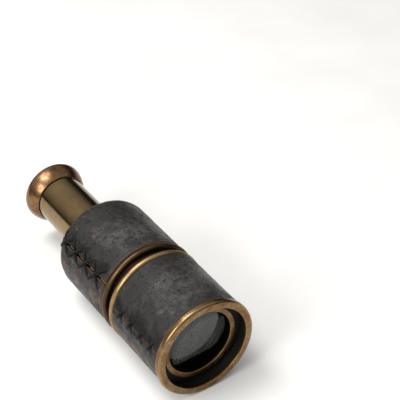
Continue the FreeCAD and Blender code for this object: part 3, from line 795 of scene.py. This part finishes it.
def topWearAndPaintedHighlight(centre, reach):
    # how much a spot is lightened: most on the top of the tube, partly by the wear of a hand closing on it and
    # partly as a painted highlight where the light falls
    def wornAndLit(along, turn):
        around = math.cos(turn + math.radians(8))
        return max(around, 0.0) ** 2 * math.exp(-((along - centre) / reach) ** 2)
    return wornAndLit


hide = {
    "endRoll": 0.5 * mm, "edgeThick": 0.15 * mm, "deepest": 0.85, "grain": 0.02 * mm, "grainSize": 1.1 * mm,
    "seamWear": 0.5 * mm, "endWear": 0.7 * mm, "crease": 0.0, "creaseAt": 2.3 * mm, "creaseWidth": 0.28 * mm,
    "bareCentre": 11 * mm, "bareReach": 6 * mm,
}
stitching = {
    "stitches": 4, "pucker": 3 * mm, "crumpleSize": 2.4 * mm, "threadBed": 0.75 * mm, "holeBed": 0.65 * mm,
    # the seam shade values paint shade on the hide beside the seam
    "puff": 0.4 * mm, "puffCore": 0.6, "puffReach": 3.5 * mm, "seamShadeAmount": 1.1, "seamShadeCentre": 3 * mm,
    "seamShadeReach": 9 * mm,
}
sunshadeCover = {
    **hide, "thick": 0.75 * mm, "cell": 0.42 * mm, "roll": 0.45 * mm, "dent": 0.12 * mm, "dentSize": 9 * mm,
    "wearAndPaintedLight": topWearAndPaintedHighlight(16 * mm, 14 * mm),
}
sunshadeSeam = {
    **stitching, "angle": math.radians(90 - 16), "gap": 0.3 * mm, "pitch": 8.4 * mm, "first": 3.5 * mm,
    "tall": 4.2 * mm, "reach": 3.1 * mm, "crumple": 0.42 * mm, "pull": 0.55 * mm, "hole": 0.75 * mm,
    "rise": 0.15 * mm,
}
barrelCover = {
    **hide, "thick": 0.65 * mm, "cell": 0.44 * mm, "roll": 0.5 * mm, "dent": 0.14 * mm, "dentSize": 10 * mm,
    "wearAndPaintedLight": topWearAndPaintedHighlight(14 * mm, 13 * mm), "crease": 0.22 * mm, "bend": 9 * mm, "hole": 15.0 * mm,
}
barrelSeam = {
    **stitching, "angle": math.radians(90 - 28), "gap": 1.2 * mm, "pitch": 9.5 * mm, "first": 4.0 * mm,
    "tall": 9.0 * mm, "reach": 4.6 * mm, "crumple": 0.38 * mm, "pull": 0.6 * mm, "hole": 0.8 * mm,
    "rise": 0.35 * mm,
}


def straightProfile(start, end, radius, cell):
    count = int((end - start) / cell)
    return [((end - start) * k / count, start + (end - start) * k / count, radius, 0.0, 1.0)
            for k in range(count + 1)]


def shoulderProfile(start, end, radius, values):
    # along the tube, round the shoulder and down its face to the collar's hole
    bend, cell = values["bend"], values["cell"]
    straight = end - bend
    points = straightProfile(start, straight, radius, cell)
    length = straight - start
    count = int(bend * math.pi / 2 / cell)
    for k in range(1, count + 1):
        turn = math.pi / 2 * k / count
        points.append((length + bend * turn, straight + bend * math.sin(turn),
                       radius - bend + bend * math.cos(turn), math.sin(turn), math.cos(turn)))
    length += bend * math.pi / 2
    flat = radius - bend - values["hole"]
    count = max(int(flat / cell), 3)  # rows down the end face
    for k in range(1, count + 1):
        points.append((length + flat * k / count, end, radius - bend - flat * k / count, 1.0, 0.0))
    return points


def makeCovers():
    low, high, radius = span("sunshade_leather")
    profile = straightProfile(low, high, radius, sunshadeCover["cell"])
    cover = leatherCover("sunshadeLeather", {**sunshadeCover, "radius": radius, "profile": profile},
                         sunshadeSeam, leather)
    place(cover, "sunshade", "sunshade_leather")
    low, high, radius = span("barrel_leather")
    profile = shoulderProfile(low, high, radius, barrelCover)
    cover = leatherCover("barrelLeather", {**barrelCover, "radius": radius, "profile": profile},
                         barrelSeam, leather)
    place(cover, "barrel", "barrel_leather")


makeCovers()
print("leather covers ready")


# Cross-stitches

threadShape = {"ply": 0.48 * mm, "plyGap": 0.42 * mm, "twist": 2.2 * mm, "sink": 0.7 * mm,
               "crossing": 0.5 * mm, "seeds": (3, 11)}


def stitchTree():
    # lays crosses along a line, then bends the row round its tube and over its shoulder
    tree = bpy.data.node_groups.new("crossStitch", "GeometryNodeTree")
    sockets = [("Geometry", "NodeSocketGeometry", None), ("Stitches", "NodeSocketInt", 4),
               ("First", "NodeSocketFloat", 0.0), ("Pitch", "NodeSocketFloat", 0.008),
               ("Tall", "NodeSocketFloat", 0.007), ("Reach", "NodeSocketFloat", 0.004),
               ("Ply", "NodeSocketFloat", 0.0004), ("Ply Gap", "NodeSocketFloat", 0.0003),
               ("Twist", "NodeSocketFloat", 0.002), ("Rise", "NodeSocketFloat", 0.0003),
               ("Sink", "NodeSocketFloat", 0.0007), ("Crossing", "NodeSocketFloat", 0.0005),
               ("Start", "NodeSocketFloat", 0.0), ("Radius", "NodeSocketFloat", 0.024),
               ("Shoulder", "NodeSocketFloat", 0.1), ("Bend", "NodeSocketFloat", 0.007),
               ("Seam Angle", "NodeSocketFloat", 0.0), ("Axis Height", "NodeSocketFloat", 0.025),
               ("Seed", "NodeSocketInt", 7), ("Thread", "NodeSocketMaterial", None)]
    for name, kind, value in sockets:
        socket = tree.interface.new_socket(name, in_out="INPUT", socket_type=kind)
        if value is not None:
            socket.default_value = value
    tree.interface.new_socket("Geometry", in_out="OUTPUT", socket_type="NodeSocketGeometry")
    given = addNode(tree, "NodeGroupInput").outputs

    def maths(operation, *values):
        node = addNode(tree, "ShaderNodeMath", operation=operation)
        for index, value in enumerate(values):
            if isinstance(value, (int, float)):
                node.inputs[index].default_value = value
            else:
                tree.links.new(value, node.inputs[index])
        return node.outputs[0]

    halfTall = maths("DIVIDE", given["Tall"], 2)
    # one thread run: from a hole below the surface, up over the leather and down again
    minusReach = maths("MULTIPLY", given["Reach"], -1)
    minusTall = maths("MULTIPLY", halfTall, -1)
    first = addNode(tree, "ShaderNodeCombineXYZ", links={"X": minusReach, "Y": minusTall})
    last = addNode(tree, "ShaderNodeCombineXYZ", links={"X": given["Reach"], "Y": halfTall})
    line = addNode(tree, "GeometryNodeCurvePrimitiveLine", links={"Start": first, "End": last})
    run = addNode(tree, "GeometryNodeResampleCurve", {"Count": 30}, {"Curve": line})
    share = addNode(tree, "GeometryNodeSplineParameter").outputs["Factor"]
    hump = maths("SINE", maths("MULTIPLY", share, math.pi))
    arch = maths("POWER", hump, 0.45)
    climb = maths("ADD", given["Rise"], given["Sink"])
    height = maths("SUBTRACT", maths("MULTIPLY", arch, climb), given["Sink"])
    peak = maths("MULTIPLY", maths("POWER", hump, 12), given["Crossing"])
    over = addNode(tree, "ShaderNodeCombineXYZ", links={"Z": maths("ADD", height, peak)})
    under = addNode(tree, "ShaderNodeCombineXYZ", links={"Z": height})
    length = addNode(tree, "GeometryNodeSplineLength").outputs["Length"]
    turns = maths("MULTIPLY", maths("DIVIDE", maths("MULTIPLY", length, share), given["Twist"]), 2 * math.pi)
    strands = []
    for offset, mirrored in ((over, False), (under, True)):
        lifted = addNode(tree, "GeometryNodeSetPosition", links={"Geometry": run, "Offset": offset})
        twisted = addNode(tree, "GeometryNodeSetCurveTilt", links={"Curve": lifted, "Tilt": turns})
        circle = addNode(tree, "GeometryNodeCurvePrimitiveCircle", {"Resolution": 9},
                         {"Radius": given["Ply"]})
        plies = []
        for way in (1, -1):
            offside = maths("MULTIPLY", given["Ply Gap"], way)
            side = addNode(tree, "ShaderNodeCombineXYZ", links={"X": offside})
            plies.append(addNode(tree, "GeometryNodeTransform",
                                 links={"Geometry": circle, "Translation": side}))
        section = addNode(tree, "GeometryNodeJoinGeometry")
        for ply in plies:
            tree.links.new(ply.outputs[0], section.inputs[0])
        solid = addNode(tree, "GeometryNodeCurveToMesh", {"Fill Caps": True},
                        {"Curve": twisted, "Profile Curve": section})
        if mirrored:
            # a mirrored thread is inside out, so its faces are flipped back
            flipped = addNode(tree, "GeometryNodeTransform", {"Scale": (-1, 1, 1)}, {"Geometry": solid})
            solid = addNode(tree, "GeometryNodeFlipFaces", links={"Mesh": flipped})
        strands.append(solid)
    cross = addNode(tree, "GeometryNodeJoinGeometry")
    for strand in strands:
        tree.links.new(strand.outputs[0], cross.inputs[0])
    # the row of crosses, each a little askew
    middle = maths("ADD", given["First"], halfTall)
    begin = addNode(tree, "ShaderNodeCombineXYZ", links={"Y": middle})
    step = addNode(tree, "ShaderNodeCombineXYZ", links={"Y": given["Pitch"]})
    row = addNode(tree, "GeometryNodeMeshLine", mode="OFFSET",
                  links={"Count": given["Stitches"], "Start Location": begin, "Offset": step})
    askew = addNode(tree, "FunctionNodeRandomValue", {0: (0, 0, -0.05), 1: (0, 0, 0.05)},
                    {"Seed": given["Seed"]}, data_type="FLOAT_VECTOR")
    pulled = addNode(tree, "FunctionNodeRandomValue", {0: (0.94, 0.96, 0.9), 1: (1.04, 1.02, 1.1)},
                     {"Seed": maths("ADD", given["Seed"], 1)}, data_type="FLOAT_VECTOR")
    crosses = addNode(tree, "GeometryNodeInstanceOnPoints",
                      links={"Points": row, "Instance": cross, "Rotation": askew, "Scale": pulled})
    flat = addNode(tree, "GeometryNodeRealizeInstances", links={"Geometry": crosses})
    position = addNode(tree, "GeometryNodeInputPosition")
    spot = addNode(tree, "ShaderNodeSeparateXYZ", links={0: position}).outputs
    # past the shoulder's start, distance along the hide becomes an angle round the bend
    beyond = maths("MAXIMUM", maths("SUBTRACT", spot["Y"], given["Shoulder"]), 0)
    bendTurn = maths("DIVIDE", beyond, given["Bend"])
    straight = maths("MINIMUM", spot["Y"], given["Shoulder"])
    bendHeight = maths("ADD", given["Bend"], spot["Z"])
    station = maths("ADD", maths("ADD", given["Start"], straight),
                    maths("MULTIPLY", bendHeight, maths("SINE", bendTurn)))
    ring = maths("ADD", maths("SUBTRACT", given["Radius"], given["Bend"]),
                 maths("MULTIPLY", bendHeight, maths("COSINE", bendTurn)))
    around = maths("ADD", given["Seam Angle"], maths("DIVIDE", spot["X"], given["Radius"]))
    sideways = maths("MULTIPLY", maths("MULTIPLY", ring, maths("SINE", around)), -1)
    upwards = maths("ADD", given["Axis Height"], maths("MULTIPLY", ring, maths("COSINE", around)))
    wrapped = addNode(tree, "ShaderNodeCombineXYZ", links={"X": sideways, "Y": station, "Z": upwards})
    bent = addNode(tree, "GeometryNodeSetPosition", links={"Geometry": flat, "Position": wrapped})
    realised = addNode(tree, "GeometryNodeRealizeInstances", links={"Geometry": bent})
    dyed = addNode(tree, "GeometryNodeSetMaterial", links={"Geometry": realised, "Material": given["Thread"]})
    addNode(tree, "NodeGroupOutput", links={0: dyed})
    return tree


def laceSeam(name, tree, seam, start, radius, shoulder, bend, seed):
    mesh = bpy.data.meshes.new(name + "Row")
    host = bpy.data.objects.new(name + "Row", mesh)
    bpy.context.scene.collection.objects.link(host)
    modifier = host.modifiers.new("crossStitch", "NODES")
    modifier.node_group = tree
    values = {"Stitches": seam["stitches"], "First": seam["first"], "Pitch": seam["pitch"],
              "Tall": seam["tall"], "Reach": seam["reach"], "Ply": threadShape["ply"],
              "Ply Gap": threadShape["plyGap"], "Twist": threadShape["twist"], "Rise": seam["rise"],
              "Sink": threadShape["sink"], "Crossing": threadShape["crossing"], "Start": start,
              "Radius": radius, "Shoulder": shoulder, "Bend": bend, "Seam Angle": seam["angle"],
              "Axis Height": axisHeight, "Seed": seed, "Thread": thread}
    for item in tree.interface.items_tree:
        if item.in_out == "INPUT" and item.name in values:
            modifier[item.identifier] = values[item.name]
    bpy.context.view_layer.update()
    evaluated = host.evaluated_get(bpy.context.evaluated_depsgraph_get())
    laced = bpy.data.meshes.new_from_object(evaluated)
    bpy.data.objects.remove(host)
    laced.polygons.foreach_set("use_smooth", [True] * len(laced.polygons))
    piece = bpy.data.objects.new(name, laced)
    bpy.context.scene.collection.objects.link(piece)
    faceOutwards(piece)
    return piece


def makeLacing():
    tree = stitchTree()
    low, high, radius = span("sunshade_leather")
    bend = barrelCover["bend"]  # the straight sunshade never reaches it
    lace = laceSeam("sunshadeLacing", tree, sunshadeSeam, low, radius, high - low, bend,
                    threadShape["seeds"][0])
    place(lace, "sunshade", "sunshade_lacing")
    low, high, radius = span("barrel_leather")
    lace = laceSeam("barrelLacing", tree, barrelSeam, low, radius, high - bend - low, bend,
                    threadShape["seeds"][1])
    place(lace, "barrel", "barrel_lacing")


makeLacing()
print("cross-stitches ready")


# Finishes of the CAD nodes that stay

cadFinish = {
    "antique_brass": antiqueBrass, "tube_brass": tubeBrass, "blackened_brass": blackened, "leather": leather,
    "waxed_thread": thread, "optical_glass": glass, "felt": felt,
}
# the objective tube's near-black finish also paints the shade in the groove between the leather sections
ownFinish = {"objective_tube": oxidisedAndShadedBrass, "sunshade_tube": blackened}

for entry in frame["record"]["subparts"]:
    mesh = frame["nodes"][entry["node"]].data
    mesh.materials.clear()
    mesh.materials.append(ownFinish.get(entry["node"], cadFinish[entry["material_slot"]]))
    mesh.polygons.foreach_set("use_smooth", [True] * len(mesh.polygons))
    mesh.set_sharp_from_angle(angle=math.radians(30))
print("CAD nodes finished")
